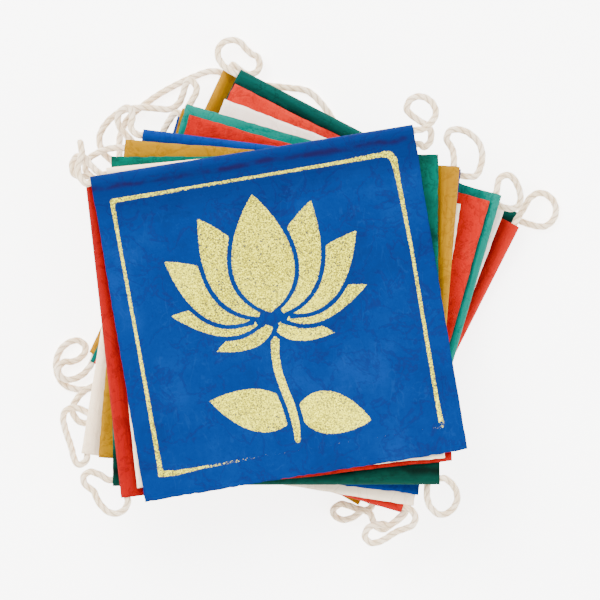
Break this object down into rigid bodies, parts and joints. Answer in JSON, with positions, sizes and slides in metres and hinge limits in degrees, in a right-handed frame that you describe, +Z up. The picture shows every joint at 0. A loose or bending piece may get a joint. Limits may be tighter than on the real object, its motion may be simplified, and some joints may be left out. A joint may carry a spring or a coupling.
{
  "type": "prayer flag garland wound into a pile",
  "caption": "Square handmade paper prayer flags in five colours, threaded on one cotton string and wound up into a loose, fanned pile.",
  "frame": {"origin": "middle of the pile's flags on the surface that they lie on", "axes": "+Z up from the surface, +Y towards the top edge of the picture, which looks straight down"},
  "size_m": [0.2044, 0.2053, 0.0523],
  "materials": {
    "blue_paper": "matt handmade paper",
    "white_paper": "matt handmade paper",
    "red_paper": "matt handmade paper",
    "green_paper": "matt handmade paper",
    "yellow_paper": "matt handmade paper",
    "cotton_string": "matt plied cotton"
  },
  "bodies": {
    "root": {"flag_01_blue": "blue_paper", "flag_02_white": "white_paper", "flag_03_red": "red_paper", "flag_04_green": "green_paper", "flag_05_yellow": "yellow_paper", "flag_06_blue": "blue_paper", "flag_07_white": "white_paper", "flag_08_red": "red_paper", "flag_09_green": "green_paper", "flag_10_yellow": "yellow_paper", "flag_11_blue": "blue_paper", "flag_12_white": "white_paper", "flag_13_red": "red_paper", "flag_14_green": "green_paper", "flag_15_yellow": "yellow_paper", "string": "cotton_string"}
  },
  "joints": []
}
